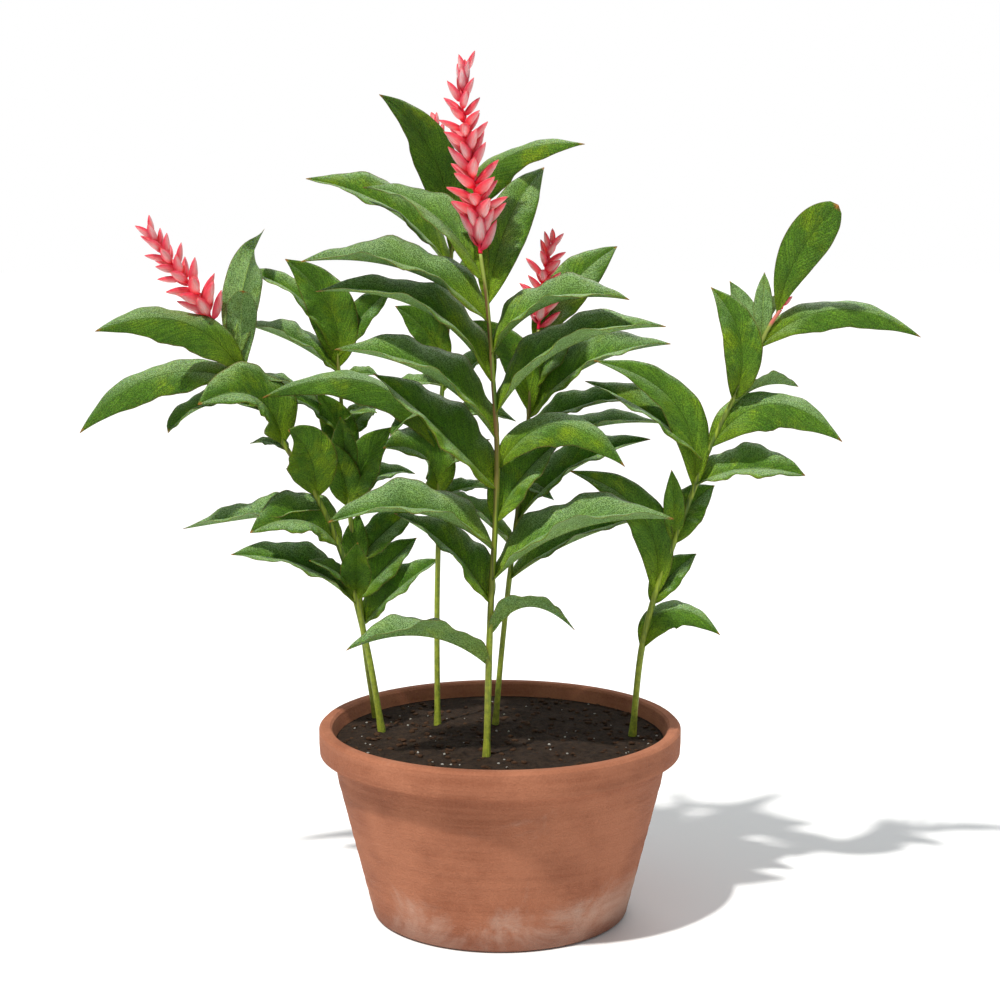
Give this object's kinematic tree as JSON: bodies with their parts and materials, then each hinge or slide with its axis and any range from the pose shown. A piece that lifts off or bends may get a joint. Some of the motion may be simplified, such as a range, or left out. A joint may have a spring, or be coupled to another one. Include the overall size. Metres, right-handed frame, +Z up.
{
  "type": "potted red ginger plant",
  "caption": "Clump of red ginger in a plain round clay pot: tall leafy canes with long arching leaves and upright spikes of red bracts.",
  "frame": {"origin": "centre of the flat underside of the pot", "axes": "+Z up through the pot's centre towards the flower spikes, -Y towards the viewer of the picture, +X to the viewer's right"},
  "size_m": [1.4405, 0.636, 1.4858],
  "materials": {
    "leaf_green": "satin green leaves and canes, lighter yellow-green towards the foot",
    "bract_red": "waxy coral-red bracts, paler in their middles",
    "pot_clay": "matte fired clay",
    "soil": "dark crumbly potting soil"
  },
  "bodies": {
    "root": {"cane_front": "leaf_green", "cane_middle": "leaf_green", "cane_centre_right": "leaf_green", "cane_left": "leaf_green", "cane_rear_left": "leaf_green", "cane_right": "leaf_green", "bloom_front": "bract_red", "bloom_middle": "bract_red", "bloom_centre_right": "bract_red", "bloom_left": "bract_red", "bud_right": "bract_red", "pot": "pot_clay", "soil": "soil"}
  },
  "joints": []
}
